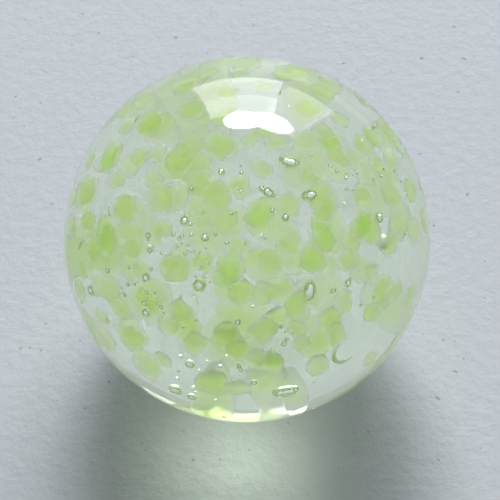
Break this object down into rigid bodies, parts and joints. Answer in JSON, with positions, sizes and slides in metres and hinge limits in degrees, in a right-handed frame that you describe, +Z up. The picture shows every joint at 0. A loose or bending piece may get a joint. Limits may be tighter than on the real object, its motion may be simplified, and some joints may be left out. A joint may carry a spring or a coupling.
{
  "type": "glass marble",
  "caption": "Clear glass ball with milky yellow-green frit grains and air bubbles sealed inside it.",
  "frame": {"origin": "centre of the ball", "axes": "+Z up; the side that looks towards -Y and up at 55 degrees is the one that the frit and bubbles are laid out for"},
  "size_m": [0.016, 0.016, 0.016],
  "materials": {
    "clear_glass": "clear, fire-polished",
    "green_frit": "milky yellow-green, sealed inside the clear glass"
  },
  "bodies": {
    "root": {"clear_glass": "clear_glass", "green_frit": "green_frit"}
  },
  "joints": []
}
